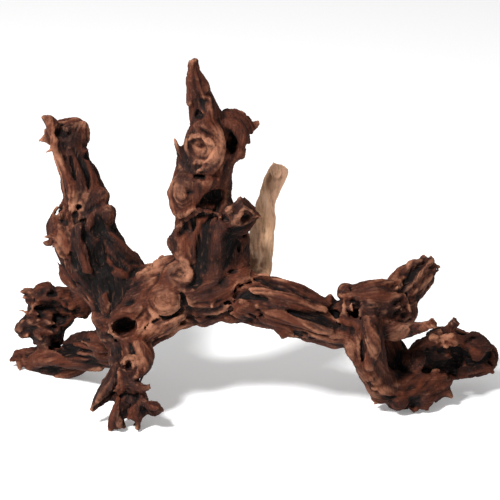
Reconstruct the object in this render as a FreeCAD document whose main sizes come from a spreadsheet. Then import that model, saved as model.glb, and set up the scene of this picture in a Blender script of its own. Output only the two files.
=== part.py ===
"""A cast-resin driftwood root with a swim-in cave, for an aquarium or a pond.

The ornament is a branching root made of separate resin castings. Each casting's
foot sits in a socket of the casting that carries it, and a glass-fibre pin runs
through the middle of every joint. The trunk is hollow: it was cast through a pour
hole that a plug closes, and a drain hole lets it fill with water.

Millimetres, +X to the right, +Y to the back, +Z up. The origin is the centre of
the ornament's footprint, on the surface that it stands on.
"""

import FreeCAD, Part
import Sketcher
import os
from FreeCAD import Placement, Rotation, Vector

BACK = Vector(0, 1, 0)
UP = Vector(0, 0, 1)

# Driving dimensions. A girth is the half-width of a casting at its thickest place.
DIMENSIONS = {
    "trunk_girth": 32,
    "upper_left_limb_girth": 32,
    "upper_left_tip_girth": 18,
    "crown_limb_girth": 34,
    "crown_spire_girth": 20,
    "crown_burl_girth": 27,
    "crown_sliver_girth": 3.5,
    "saddle_knob_girth": 14,
    "pale_branch_girth": 13,
    "right_limb_girth": 26,
    "right_knuckle_girth": 22,
    "right_pillar_girth": 14,
    "right_stub_girth": 14,
    "right_twig_girth": 7.5,
    "right_basin_girth": 16,
    "right_root_girth": 22,
    "root_stub_girth": 7,
    "cave_back_girth": 18,
    "left_limb_girth": 18,
    "left_rosette_girth": 27,
    "front_foot_girth": 16,
    "foot_toe_girth": 7,
    "foot_claw_girth": 9,
    "foot_spur_girth": 6,
    "flatness": 0.85,
    "large_pin_dia": 6,
    "large_pin_length": 24,
    "small_pin_dia": 3,
    "small_pin_length": 12,
    "pin_bevel": 0.5,
    "drain_dia": 8,
    "plug_dia": 22,
    "plug_depth": 14,
    "plug_taper": 1.5,
    "plug_reach": 3,
    "cavity_length": 50,
    "cavity_width": 24,
    "cavity_height": 30,
}

# Each casting: the casting that carries it, the pin in that joint, and its path
# from the joint to the tip as (x, y, z, share of its girth).
CASTINGS = {
    "trunk": (None, None, [
        (-124, -10, 55, 0.55), (-106, -10, 78, 0.84), (-83, -12, 98, 0.98),
        (-58, -12, 111, 1.0), (-32, -14, 117, 0.98), (-4, -18, 110, 0.85)]),
    "upper_left_limb": ("trunk", "large", [
        (-110, 2, 99, 0.95), (-129, 9, 118, 0.97), (-147, 17, 136, 0.95),
        (-155, 25, 153, 0.86), (-151, 32, 171, 0.72), (-149, 36, 188, 0.58)]),
    "upper_left_tip": ("upper_left_limb", "large", [
        (-149, 35, 180, 0.88), (-156, 38, 205, 0.86), (-162, 40, 227, 0.82),
        (-168, 41, 243, 1.0), (-170, 41, 250, 0.9)]),
    "crown_limb": ("trunk", "large", [
        (-31, -9, 133, 1.0), (-34, -8, 157, 0.9), (-38, -10, 181, 0.77),
        (-42, -12, 204, 0.74), (-39, -12, 227, 0.62)]),
    "crown_spire": ("crown_limb", "large", [
        (-39, -12, 218, 0.9), (-39, -16, 246, 0.96), (-41, -20, 271, 0.76),
        (-44, -24, 293, 0.57), (-48, -28, 313, 0.36), (-50, -32, 333, 0.22)]),
    "crown_burl": ("crown_spire", "large", [
        (-33, -14, 254, 0.5), (-26, -12, 255, 0.78), (-18, -10, 254, 0.92),
        (-10, -8, 251, 0.82), (-6, -7, 248, 0.5)]),
    "crown_sliver": ("crown_limb", "small", [
        (-56, -15, 210, 0.9), (-61, -18, 236, 1.0), (-67, -22, 257, 0.35)]),
    "saddle_knob": ("crown_limb", "large", [
        (-18, -22, 174, 0.9), (-8, -28, 187, 1.0), (1, -30, 197, 0.85)]),
    "pale_branch": ("right_limb", "large", [
        (3, -4, 106, 1.0), (8, 18, 124, 1.0), (12, 32, 143, 0.86),
        (14, 42, 165, 0.78), (17, 48, 182, 0.7), (22, 52, 195, 0.72),
        (28, 55, 206, 0.6)]),
    "right_limb": ("trunk", "large", [
        (-13, -18, 111, 0.92), (11, -24, 105, 0.97), (36, -30, 98, 0.93),
        (63, -36, 89, 0.79), (88, -38, 86, 0.74)]),
    "right_knuckle": ("right_limb", "large", [
        (79, -37, 87, 0.72), (98, -31, 96, 1.0), (117, -22, 97, 1.0),
        (134, -15, 99, 0.78)]),
    "right_pillar": ("right_knuckle", "large", [
        (107, -40, 94, 0.75), (102, -47, 81, 0.95), (104, -48, 64, 0.95),
        (112, -42, 44, 0.86), (123, -35, 27, 0.8)]),
    "right_stub": ("right_knuckle", "large", [
        (129, -14, 99, 1.0), (142, -4, 110, 0.98), (153, 4, 119, 0.93),
        (164, 12, 129, 0.82)]),
    "right_twig": ("right_knuckle", "small", [
        (119, -32, 82, 0.9), (133, -42, 82, 0.8), (148, -52, 89, 0.7),
        (163, -60, 98, 0.75)]),
    "right_basin": ("right_pillar", "large", [
        (116, -36, 32, 0.7), (128, -30, 20, 0.9), (144, -24, 13, 1.0),
        (160, -17, 18, 0.9), (180, -4, 29, 0.65)]),
    "right_root": ("right_basin", "large", [
        (154, -14, 28, 0.6), (163, -4, 44, 0.82), (182, 10, 42, 1.0),
        (203, 22, 32, 0.92), (219, 30, 25, 0.55)]),
    "root_stub": ("right_root", "small", [
        (173, 4, 56, 1.0), (180, 2, 67, 0.9), (188, 0, 76, 0.8)]),
    "cave_back": ("right_knuckle", "large", [
        (112, -10, 86, 0.8), (116, 4, 64, 0.95), (126, 6, 42, 0.95),
        (138, 0, 24, 0.85), (146, -8, 14, 0.6)]),
    "left_limb": ("trunk", "large", [
        (-114, 4, 54, 0.95), (-144, 32, 37, 1.0), (-174, 58, 17, 0.96),
        (-196, 70, 10, 0.66), (-210, 76, 10, 0.4), (-222, 79, 10, 0.25)]),
    "left_rosette": ("left_limb", "large", [
        (-187, 66, 25, 0.5), (-184, 70, 42, 0.85), (-182, 74, 58, 1.0),
        (-182, 76, 71, 0.85), (-182, 77, 80, 0.45)]),
    "front_foot": ("trunk", "large", [
        (-106, -20, 66, 0.8), (-110, -44, 46, 1.0), (-108, -58, 30, 0.88),
        (-103, -66, 16, 0.95), (-100, -72, -3, 0.9)]),
    "foot_toe": ("front_foot", "small", [
        (-112, -64, 22, 1.0), (-118, -72, 12, 0.9), (-121, -77, -2, 0.8)]),
    "foot_claw": ("front_foot", "small", [
        (-113, -46, 43, 1.0), (-124, -54, 35, 0.95), (-133, -60, 25, 0.6),
        (-142, -64, 14, 0.2)]),
    "foot_spur": ("front_foot", "small", [
        (-108, -62, 36, 1.0), (-96, -70, 38, 0.8), (-88, -74, 42, 0.6)]),
}

# Lumps that belong to a casting: centre, half-sizes in x, y and z.
LUMPS = {
    "trunk": [((-78, -28, 92), (18, 14, 16)), ((-127, -4, 82), (13, 14, 15)),
              ((-42, -18, 92), (15, 14, 12))],
    "upper_left_limb": [((-166, 22, 160), (14, 14, 20)), ((-140, 24, 160), (16, 16, 22))],
    "crown_limb": [((-58, -16, 195), (12, 14, 15)), ((-51, -18, 160), (16, 15, 16))],
    "crown_spire": [((-38, -24, 249), (16, 12, 22))],
    "right_limb": [((40, -32, 84), (24, 16, 12))],
    "right_knuckle": [((110, -28, 108), (16, 15, 14)), ((138, -18, 92), (13, 14, 15))],
    "right_root": [((174, -2, 56), (15, 14, 13)), ((204, 10, 45), (12, 14, 12))],
    "left_rosette": [((-204, 72, 44), (12, 12, 12)), ((-162, 72, 64), (13, 12, 15))],
    "front_foot": [((-86, -72, 20), (9, 9, 9)), ((-121, -54, 30), (9, 9, 12))],
}

# Hollows in a casting: centre, half-sizes in x, y and z.
HOLLOWS = {
    "left_rosette": [((-186, 52, 62), (15, 14, 17))],
    "crown_burl": [((-15, -22, 258), (5, 9, 14))],
    "saddle_knob": [((8, -34, 198), (9, 9, 8))],
}

# Castings that lie against this one without a joint, so it makes room for them.
CLEARED_FOR = {
    "trunk": ["pale_branch"],
    "crown_spire": ["crown_sliver"],
    "right_limb": ["right_pillar"],
    "cave_back": ["right_basin", "right_root"],
}

# The middle of the trunk's cavity.
CAVITY_CENTRE = (-72, -12, 104)

# Half-widths and depth of the block that stands for the ground under the ornament.
GROUND = (300, 200, 50)

# Castings that reach the floor and are ground flat there.
STANDING = ("front_foot", "foot_toe", "right_basin", "left_limb")


def number_sheet(doc):
    """The driving dimensions as a sheet of plain numbers with aliases."""
    sheet = doc.addObject("Spreadsheet::Sheet", "Dims")
    for row, (alias, value) in enumerate(DIMENSIONS.items(), start=1):
        sheet.set(f"A{row}", alias)
        sheet.set(f"B{row}", str(value))
        sheet.setAlias(f"B{row}", alias)
    doc.recompute()
    return sheet


def facing(path, index):
    """The turn that lays a ring square across its path, with its long side seen from the front."""
    before = Vector(*path[max(index - 1, 0)][:3])
    after = Vector(*path[min(index + 1, len(path) - 1)][:3])
    along = (after - before).normalize()
    across = along.cross(BACK).normalize()
    return Rotation(across, along.cross(across), along, "ZXY")


def joint_place(name):
    """Where a casting's pin sits: on the joint's face, pointing along the casting."""
    path = CASTINGS[name][2]
    return Placement(Vector(*path[0][:3]), facing(path, 0))


def limb_loft(doc, name):
    """The plain limb: a loft through flattened rings along the casting's path."""
    path = CASTINGS[name][2]
    rings = []
    for index, (x, y, z, share) in enumerate(path):
        ring = doc.addObject("Part::Ellipse", f"{name}_ring_{index}")
        ring.setExpression("MajorRadius", f"Dims.{name}_girth * {share}")
        ring.setExpression("MinorRadius", f"Dims.{name}_girth * {share} * Dims.flatness")
        ring.Placement = Placement(Vector(x, y, z), facing(path, index))
        rings.append(ring)
    loft = doc.addObject("Part::Loft", f"{name}_loft")
    loft.Sections = rings
    loft.Solid = True
    loft.Ruled = False
    return loft


def ellipsoid(doc, name, centre, half_sizes):
    """An ellipsoid with its three half-sizes along x, y and z."""
    blob = doc.addObject("Part::Ellipsoid", name)
    blob.Radius2, blob.Radius3, blob.Radius1 = half_sizes
    blob.Placement = Placement(Vector(*centre), Rotation())
    return blob


def outer_form(doc, name):
    """A casting's outside: its limb with its lumps."""
    limb = limb_loft(doc, name)
    lumps = [ellipsoid(doc, f"{name}_lump_{i}", *lump) for i, lump in enumerate(LUMPS.get(name, []))]
    if not lumps:
        return limb
    whole = doc.addObject("Part::MultiFuse", f"{name}_outer")
    whole.Shapes = [limb] + lumps
    return whole


def cut(doc, name, base, tools):
    """base less each of the tools, one after another."""
    for index, tool in enumerate(tools):
        less = doc.addObject("Part::Cut", f"{name}_cut_{index}")
        less.Base = base
        less.Tool = tool
        base = less
    return base


def bore(doc, name):
    """The hole for a joint's pin, half in each casting."""
    size = CASTINGS[name][1]
    hole = doc.addObject("Part::Cylinder", f"{name}_bore")
    hole.setExpression("Radius", f"Dims.{size}_pin_dia / 2")
    hole.setExpression("Height", f"Dims.{size}_pin_length")
    place = joint_place(name)
    half = DIMENSIONS[f"{size}_pin_length"] / 2
    hole.Placement = place.multiply(Placement(Vector(0, 0, -half), Rotation()))
    return hole


def pin(doc, name):
    """A glass-fibre pin with bevelled ends."""
    size = CASTINGS[name][1]
    body = doc.addObject("PartDesign::Body", f"{name}_pin_body")
    sketch = body.newObject("Sketcher::SketchObject", f"{name}_pin_section")
    plane = next(f for f in body.Origin.OriginFeatures if f.Role == "XY_Plane")
    sketch.AttachmentSupport = [(plane, "")]
    sketch.MapMode = "FlatFace"
    circle = Part.Circle(Vector(0, 0, 0), UP, DIMENSIONS[f"{size}_pin_dia"] / 2)
    sketch.addGeometry(circle, False)
    sketch.addConstraint(Sketcher.Constraint("Coincident", 0, 3, -1, 1))
    sketch.addConstraint(Sketcher.Constraint("Diameter", 0, DIMENSIONS[f"{size}_pin_dia"]))
    sketch.setExpression("Constraints[1]", f"Dims.{size}_pin_dia")
    pad = body.newObject("PartDesign::Pad", f"{name}_pin_rod")
    pad.Profile = sketch
    pad.Midplane = True
    pad.setExpression("Length", f"Dims.{size}_pin_length")
    doc.recompute()
    rims = [f"Edge{i}" for i, edge in enumerate(pad.Shape.Edges, start=1)
            if isinstance(edge.Curve, Part.Circle)]
    bevel = body.newObject("PartDesign::Chamfer", f"{name}_pin_bevel")
    bevel.Base = (pad, rims)
    bevel.setExpression("Size", "Dims.pin_bevel")
    body.Placement = joint_place(name)
    return body


def trunk_hollow(doc, trunk_outer):
    """The trunk's cavity, its drain hole, the pour hole and the plug that closes it."""
    centre = Vector(*CAVITY_CENTRE)
    cavity = ellipsoid(doc, "trunk_cavity", centre, (1, 1, 1))
    cavity.setExpression("Radius2", "Dims.cavity_length / 2")
    cavity.setExpression("Radius3", "Dims.cavity_width / 2")
    cavity.setExpression("Radius1", "Dims.cavity_height / 2")
    drain = doc.addObject("Part::Cylinder", "trunk_drain")
    drain.setExpression("Radius", "Dims.drain_dia / 2")
    drain.setExpression("Height", "Dims.cavity_height * 2")
    drain.Placement = Placement(centre, Rotation(Vector(1, 0, 0), 180))
    pour = doc.addObject("Part::Cone", "trunk_pour_hole")
    pour.setExpression("Radius1", "Dims.plug_dia / 2 - Dims.plug_taper")
    pour.setExpression("Radius2", "Dims.plug_dia / 2")
    pour.setExpression("Height", "Dims.plug_depth * 2")
    start = DIMENSIONS["cavity_width"] / 2 - DIMENSIONS["plug_reach"]
    inner_end = centre + Vector(0, start, 0)
    pour.Placement = Placement(inner_end, Rotation(UP, BACK))
    plug = doc.addObject("Part::MultiCommon", "pour_plug_body")
    plug.Shapes = [pour, trunk_outer]
    return cavity, drain, pour, plug


def below_floor(doc):
    """Everything under the surface that the ornament stands on."""
    block = doc.addObject("Part::Box", "below_floor")
    half_length, half_width, depth = GROUND
    block.Length = 2 * half_length
    block.Width = 2 * half_width
    block.Height = depth
    block.Placement = Placement(Vector(-half_length, -half_width, -depth), Rotation())
    return block


def build(doc):
    """Every node of the ornament by its name."""
    outers = {name: outer_form(doc, name) for name in CASTINGS}
    joined = [name for name, (carrier, _, _) in CASTINGS.items() if carrier]
    bores = {name: bore(doc, name) for name in joined}
    cavity, drain, pour, plug = trunk_hollow(doc, outers["trunk"])
    floor = below_floor(doc)
    nodes = {"pour_hole_plug": plug}
    for name in CASTINGS:
        carried = [child for child in joined if CASTINGS[child][0] == name]
        tools = [outers[other] for other in carried + CLEARED_FOR.get(name, [])]
        tools += [bores[child] for child in carried]
        tools += [bores[name]] if name in bores else [cavity, drain, pour]
        tools += [ellipsoid(doc, f"{name}_hollow_{i}", *hollow)
                  for i, hollow in enumerate(HOLLOWS.get(name, []))]
        if name in STANDING:
            tools.append(floor)
        nodes[name] = cut(doc, name, outers[name], tools)
    for name in joined:
        nodes[f"{name}_pin"] = pin(doc, name)
    return nodes


def main():
    doc = FreeCAD.newDocument("DriftwoodCave")
    number_sheet(doc)
    nodes = build(doc)
    doc.recompute()
    for item in doc.Objects:
        if "Invalid" in item.State or "Error" in item.State:
            raise RuntimeError(f"{item.Name} failed: {item.State}")
    bounds = FreeCAD.BoundBox()
    for item in nodes.values():
        bounds.add(item.Shape.optimalBoundingBox())
    to_origin = Placement(Vector(-bounds.Center.x, -bounds.Center.y, -bounds.ZMin), Rotation())
    os.makedirs("parts", exist_ok=True)
    for name, item in nodes.items():
        item.Label = name
        item.Placement = to_origin.multiply(item.Placement)
        shape = item.Shape
        if shape.isNull() or not shape.isValid() or shape.Volume <= 0:
            raise RuntimeError(f"{name} has no valid solid")
        shape.exportStep(f"parts/{name}.step")
        print(f"{name}: {len(shape.Solids)} solid(s), {shape.Volume / 1000:.1f} cm3")
    print("moved by", to_origin.Base, "size", bounds.XLength, bounds.YLength, bounds.ZLength)


main()
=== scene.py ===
"""Looks of a driftwood root ornament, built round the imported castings.

Each casting's solid becomes a distance field. The fields melt into one, knobs,
strands, pits and hollows are added to it, and fibres that follow each limb roughen
it. The finished skin is then dealt back to the castings, so each keeps its own piece.

Fields are worked in millimetres, in the row frame. Meshes are in metres.
"""

import itertools
import math

import bpy
import numpy as np
import openvdb as vdb
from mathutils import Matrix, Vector
from mathutils.bvhtree import BVHTree


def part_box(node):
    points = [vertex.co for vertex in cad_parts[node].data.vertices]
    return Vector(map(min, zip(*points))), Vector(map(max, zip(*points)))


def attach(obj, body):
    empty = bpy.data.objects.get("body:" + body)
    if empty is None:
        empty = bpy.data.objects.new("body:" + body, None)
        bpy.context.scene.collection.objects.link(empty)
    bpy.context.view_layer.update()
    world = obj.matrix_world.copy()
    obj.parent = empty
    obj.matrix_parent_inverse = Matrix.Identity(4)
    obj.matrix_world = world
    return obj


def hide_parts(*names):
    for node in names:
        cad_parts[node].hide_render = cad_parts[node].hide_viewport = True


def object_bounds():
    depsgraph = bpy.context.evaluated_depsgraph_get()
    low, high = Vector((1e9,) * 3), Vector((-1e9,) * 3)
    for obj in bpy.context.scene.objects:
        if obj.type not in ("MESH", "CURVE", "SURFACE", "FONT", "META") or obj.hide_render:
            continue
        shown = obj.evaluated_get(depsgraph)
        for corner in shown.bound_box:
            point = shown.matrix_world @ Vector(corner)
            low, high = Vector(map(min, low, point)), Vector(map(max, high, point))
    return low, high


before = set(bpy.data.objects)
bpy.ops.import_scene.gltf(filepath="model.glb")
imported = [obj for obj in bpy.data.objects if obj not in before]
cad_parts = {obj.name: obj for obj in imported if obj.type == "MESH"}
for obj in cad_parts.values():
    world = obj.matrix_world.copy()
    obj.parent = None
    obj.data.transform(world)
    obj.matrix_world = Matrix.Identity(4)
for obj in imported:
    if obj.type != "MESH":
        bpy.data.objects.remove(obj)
CAD_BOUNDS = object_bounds()

SEED = 11
CELL = 1.0            # size of a field's voxel
REACH = 14            # voxels that a casting's distance field reaches each way
MARGIN = 13           # room round the castings
MELT = 2.4            # how softly castings run into each other
FLOW_CELL = 3.0       # size of a cell of the fibre-direction field
MM = 1000.0

PLUG = "pour_hole_plug"
CASTINGS = sorted(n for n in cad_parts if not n.endswith("_pin") and n != PLUG)
PINS = sorted(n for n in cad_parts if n.endswith("_pin"))
ORIGIN = np.floor(np.array(CAD_BOUNDS[0]) * MM - MARGIN)
SHAPE = tuple(int(v) for v in np.ceil((np.array(CAD_BOUNDS[1]) * MM + MARGIN - ORIGIN) / CELL))
rng = np.random.default_rng(SEED)


# ---- distance fields

def node_mesh(node):
    """A CAD node's points in millimetres and its triangles."""
    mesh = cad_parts[node].data
    mesh.calc_loop_triangles()
    points = np.empty(len(mesh.vertices) * 3, np.float32)
    mesh.vertices.foreach_get("co", points)
    corners = np.empty(len(mesh.loop_triangles) * 3, np.int32)
    mesh.loop_triangles.foreach_get("vertices", corners)
    return points.reshape(-1, 3) * MM, corners.reshape(-1, 3)


def solid_field(node):
    """(first voxel, distances in mm) of a node's solid, in a block just round it."""
    points, corners = node_mesh(node)
    points = ((points - ORIGIN) / CELL).astype(np.float32)
    grid = vdb.FloatGrid.createLevelSetFromPolygons(
        points=points, triangles=corners.astype(np.uint32), halfWidth=float(REACH))
    first = np.maximum(np.floor(points.min(0)).astype(int) - REACH, 0)
    last = np.minimum(np.ceil(points.max(0)).astype(int) + REACH, SHAPE)
    block = np.full(tuple(last - first), float(REACH), np.float32)
    grid.copyToArray(block, ijk=tuple(int(v) for v in first))
    return first, np.clip(block, -REACH, REACH) * CELL


def block_slices(first, block):
    return tuple(slice(a, a + n) for a, n in zip(first, block.shape))


def soft_min(a, b, k):
    h = np.maximum(k - np.abs(a - b), 0) / k
    return np.minimum(a, b) - h * h * k / 4


def melt_castings(solids):
    """One field in which every solid runs softly into its neighbours."""
    far = math.exp(-REACH * CELL / MELT)
    total = np.full(SHAPE, far, np.float32)
    for first, block in solids.values():
        total[block_slices(first, block)] += np.exp(-block / MELT) - far
    return -MELT * np.log(total)


class Clay:
    """The field being modelled, with tools that add to it and cut from it."""

    def __init__(self, field):
        self.field = field

    def window(self, low, high):
        """The part of the field between two corners, with the coordinates of its voxels."""
        a = np.clip(np.floor((np.array(low) - ORIGIN) / CELL).astype(int), 0, np.array(SHAPE) - 1)
        b = np.clip(np.ceil((np.array(high) - ORIGIN) / CELL).astype(int) + 1, a + 1, SHAPE)
        axes = [(ORIGIN[i] + np.arange(a[i], b[i]) * CELL).astype(np.float32) for i in range(3)]
        x, y, z = np.meshgrid(*axes, indexing="ij")
        return tuple(slice(i, j) for i, j in zip(a, b)), x, y, z

    def apply(self, where, distance, k, cut):
        old = self.field[where]
        if cut:
            self.field[where] = -soft_min(-old, distance, k)
        else:
            self.field[where] = soft_min(old, distance, k)

    def tube(self, points, radii, k=2.0, cut=False):
        """A tapering cord through points. Its radius runs through radii."""
        path = smooth_path(np.array(points, float), 5)
        sizes = np.interp(np.linspace(0, 1, len(path)), np.linspace(0, 1, len(radii)), radii)
        reach = max(radii) + k + 2
        where, x, y, z = self.window(path.min(0) - reach, path.max(0) + reach)
        distance = np.full(x.shape, 50.0, np.float32)
        for p, q, r, s in zip(path[:-1], path[1:], sizes[:-1], sizes[1:]):
            d = q - p
            length = max(float(d @ d), 1e-6)
            t = np.clip(((x - p[0]) * d[0] + (y - p[1]) * d[1] + (z - p[2]) * d[2]) / length, 0, 1)
            away = np.sqrt((x - p[0] - t * d[0]) ** 2 + (y - p[1] - t * d[1]) ** 2
                           + (z - p[2] - t * d[2]) ** 2)
            distance = np.minimum(distance, away - (r + t * (s - r)))
        self.apply(where, distance, k, cut)

    def blob(self, centre, sizes, along=None, k=3.0, cut=False):
        """An ellipsoid with half-sizes sizes. The third half-size lies along the direction along."""
        turn = turn_to(along if along is not None else (0, 0, 1))
        reach = max(sizes) + k + 2
        centre = np.array(centre, float)
        where, x, y, z = self.window(centre - reach, centre + reach)
        local = [(x - centre[0]) * turn[i][0] + (y - centre[1]) * turn[i][1]
                 + (z - centre[2]) * turn[i][2] for i in range(3)]
        inner = np.sqrt(sum((v / s) ** 2 for v, s in zip(local, sizes)))
        slope = np.sqrt(sum((v / s ** 2) ** 2 for v, s in zip(local, sizes)))
        distance = inner * (inner - 1) / np.maximum(slope, 1e-4)
        self.apply(where, distance.astype(np.float32), k, cut)

    def rimmed_pit(self, centre, out, width, depth, rim=0.35):
        """A pit with a raised rim, as a rotted-out knot leaves."""
        out = np.array(out, float) / np.linalg.norm(out)
        self.blob(np.array(centre) - out * 0.2 * width, (width * 1.5, width * 1.5, width * rim * 2.2),
                  along=out, k=width * 0.6)
        self.blob(np.array(centre), (width, width * 0.8, depth), along=out, k=1.5, cut=True)


def turn_to(direction):
    """Three square axes, the third along direction."""
    w = np.array(direction, float)
    w = w / np.linalg.norm(w)
    u = np.cross((0, 0, 1) if abs(w[2]) < 0.9 else (1, 0, 0), w)
    u = u / np.linalg.norm(u)
    return u, np.cross(w, u), w


def smooth_path(points, steps):
    """A smooth line through points, with steps pieces between each two."""
    if len(points) < 3:
        t = np.linspace(0, 1, steps + 1)[:, None]
        return points[0] * (1 - t) + points[-1] * t
    ends = np.vstack([2 * points[0] - points[1], points, 2 * points[-1] - points[-2]])
    line = []
    for a, b, c, d in zip(ends[:-3], ends[1:-2], ends[2:-1], ends[3:]):
        for t in np.arange(steps) / steps:
            line.append(0.5 * (2 * b + (c - a) * t + (2 * a - 5 * b + 4 * c - d) * t * t
                               + (3 * b - a - 3 * c + d) * t ** 3))
    line.append(points[-1])
    return np.array(line)


# ---- places on the castings

trees = {}
for casting in CASTINGS:
    tree_points, tree_corners = node_mesh(casting)
    trees[casting] = BVHTree.FromPolygons(tree_points.tolist(), tree_corners.tolist())


def corner_box(node):
    low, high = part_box(node)
    return np.array(low) * MM, np.array(high) * MM


IN_FRONT = 20    # mm in front of a box from which a line is cast at it


def seen(node, across, up, lift=0.0):
    """The point of a casting that shows from the front, at shares of its box's width and height.

    lift moves it out of the surface, along its normal.
    """
    low, high = corner_box(node)
    x = low[0] + across * (high[0] - low[0])
    z = low[2] + up * (high[2] - low[2])
    hit, normal, _, _ = trees[node].ray_cast(Vector((x, low[1] - IN_FRONT, z)), Vector((0, 1, 0)))
    if hit is None:
        middle = Vector((x, (low[1] + high[1]) / 2, z))
        hit, normal, _, _ = trees[node].find_nearest(middle)
    if normal.y > 0:
        normal = -normal
    return np.array(hit) + lift * np.array(normal)


def foremost(node, across, up):
    """The front of the ornament at shares of a casting's box, whichever casting is there."""
    low, high = corner_box(node)
    start = Vector((low[0] + across * (high[0] - low[0]), CAD_BOUNDS[0][1] * MM - IN_FRONT,
                    low[2] + up * (high[2] - low[2])))
    hits = [tree.ray_cast(start, Vector((0, 1, 0)))[0] for tree in trees.values()]
    return np.array(min((hit for hit in hits if hit is not None), key=lambda hit: hit.y))


def outward(node, point):
    """The casting's outward direction nearest to a point."""
    hit, normal, _, _ = trees[node].find_nearest(Vector(point))
    return np.array(normal)


# ---- noise and fibres

TILE = 96          # cells along each side of the repeating block of noise
TILE_STEP = 3.0    # cells of it to one feature of the noise


def noise_tile(softness):
    """A repeating block of smooth noise with unit spread."""
    white = rng.standard_normal((TILE, TILE, TILE))
    waves = np.fft.fftfreq(TILE)
    falloff = np.exp(-2 * (math.pi * softness * waves) ** 2)
    spectrum = np.fft.fftn(white)
    spectrum *= falloff[:, None, None] * falloff[None, :, None] * falloff[None, None, :]
    block = np.real(np.fft.ifftn(spectrum))
    return ((block - block.mean()) / block.std()).astype(np.float32)


def wrapped(tile, index):
    i, j, k = index % TILE
    return tile[i, j, k]


def corner_weights(f):
    """The eight corners of a cell, and how much each counts at f, the place within it (3 rows)."""
    for corner in itertools.product((0, 1), repeat=3):
        x, y, z = (f[i] if corner[i] else 1 - f[i] for i in range(3))
        yield np.array(corner, np.int32), x * y * z


def soft_noise(tile, points, size):
    """Smoothly read noise at points (3 rows), with features about size mm across."""
    p = points * (TILE_STEP / size)
    base = np.floor(p).astype(np.int32)
    f = (p - base).astype(np.float32)
    f = f * f * (3 - 2 * f)
    total = np.zeros(points.shape[1], np.float32)
    for corner, weight in corner_weights(f):
        total += weight * wrapped(tile, base + corner[:, None])
    return total


SPINE_STEP = 6.0      # mm between the points down the middle of a casting
SPINE_SPREAD = 11.0   # how far in mm one such point's direction carries
FLOW_REACH = 13       # mm from the skin that have a fibre direction


def spine(first, block):
    """Points down the middle of a casting, along the longest side of its box."""
    inside = np.argwhere(block < -1.0) * CELL + first * CELL + ORIGIN
    axis = int(np.argmax(inside.max(0) - inside.min(0)))
    rank = np.floor(inside[:, axis] / SPINE_STEP).astype(int)
    return np.array([inside[rank == r].mean(0) for r in np.unique(rank)])


def unit_rows(rows):
    return rows / (np.linalg.norm(rows, axis=1)[:, None] + 1e-6)


def laid_flat(way, normal):
    """Directions turned into the skin that has these normals."""
    return unit_rows(way - (way * normal).sum(1)[:, None] * normal)


def swirled(points, way, centre, out, radius):
    """Directions bent round a knot, fully at its middle and not at all well outside it."""
    arm = points - np.array(centre)
    away = np.linalg.norm(arm, axis=1)
    ring = np.cross(out / np.linalg.norm(out), arm) / (away[:, None] + 1e-3)
    ring *= np.sign((ring * way).sum(1) + 1e-9)[:, None]
    pull = np.clip(1.9 - away / radius, 0, 1)[:, None]
    return way * (1 - pull) + ring * pull


class Flow:
    """The direction of the wood's fibres everywhere near the skin."""

    def __init__(self, field, solids, knots):
        step = int(FLOW_CELL / CELL)
        coarse = field[::step, ::step, ::step]
        self.shape = np.array(coarse.shape)
        slope = np.stack(np.gradient(coarse), 0)
        near = np.abs(coarse) < FLOW_REACH
        index = np.argwhere(near)
        points = index * FLOW_CELL + ORIGIN
        way = self.along_castings(index * step, points, solids)
        normal = unit_rows(slope[:, near].T)
        way = laid_flat(way, normal)
        bend = (0.42 * soft_noise(tile_soft, points.T, 34.0))[:, None]
        way = way * np.cos(bend) + np.cross(normal, way) * np.sin(bend)
        for centre, out, radius in knots:
            way = swirled(points, way, centre, out, radius)
        self.ways = np.zeros((3,) + tuple(self.shape), np.float32)
        self.ways[:, near] = laid_flat(way, normal).T

    @staticmethod
    def along_castings(index, points, solids):
        """At each point, the direction in which the castings near it run."""
        tensor = np.zeros((len(index), 3, 3), np.float32)
        for first, block in solids.values():
            middles = spine(first, block)
            if len(middles) < 3:
                continue
            ways = np.gradient(middles, axis=0)
            ways /= np.linalg.norm(ways, axis=1)[:, None]
            local = index - first
            ok = np.all((local >= 0) & (local < block.shape), axis=1)
            rows = np.nonzero(ok)[0]
            d = block[tuple(local[rows].T)]
            rows = rows[d < 12]
            d = d[d < 12]
            apart = ((points[rows][:, None, :] - middles[None]) ** 2).sum(2)
            apart -= apart.min(1)[:, None]
            share = np.exp(-apart / (2 * SPINE_SPREAD ** 2))
            way = unit_rows(share @ ways)
            weight = np.exp(-np.maximum(d, 0) / 3.5)
            tensor[rows] += weight[:, None, None] * way[:, :, None] * way[:, None, :]
        return np.linalg.eigh(tensor)[1][:, :, 2]

    def at(self, points, jitter):
        cell = ((points - ORIGIN[:, None].astype(np.float32)) / FLOW_CELL + jitter).astype(np.int32)
        cell = np.clip(cell, 0, (self.shape - 1)[:, None])
        return self.ways[:, cell[0], cell[1], cell[2]]

    def fibres(self, points, tile, size, step, count):
        """Noise smeared along the fibres, with unit spread: size mm across, 2 x step x count long."""
        jitter = rng.random(points.shape).astype(np.float32)
        total = wrapped(tile, np.floor(points * (TILE_STEP / size)).astype(np.int32)).copy()
        for sign in (1.0, -1.0):
            p = points.copy()
            way = self.at(p, jitter) * sign
            for _ in range(count):
                p += way * step
                new = self.at(p, jitter)
                new *= np.where((new * way).sum(0) < 0, -1, 1).astype(np.float32)
                way = np.where(np.abs(new).sum(0) > 0.1, new, way)
                total += wrapped(tile, np.floor(p * (TILE_STEP / size)).astype(np.int32))
        return (total - total.mean()) / total.std()


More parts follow.
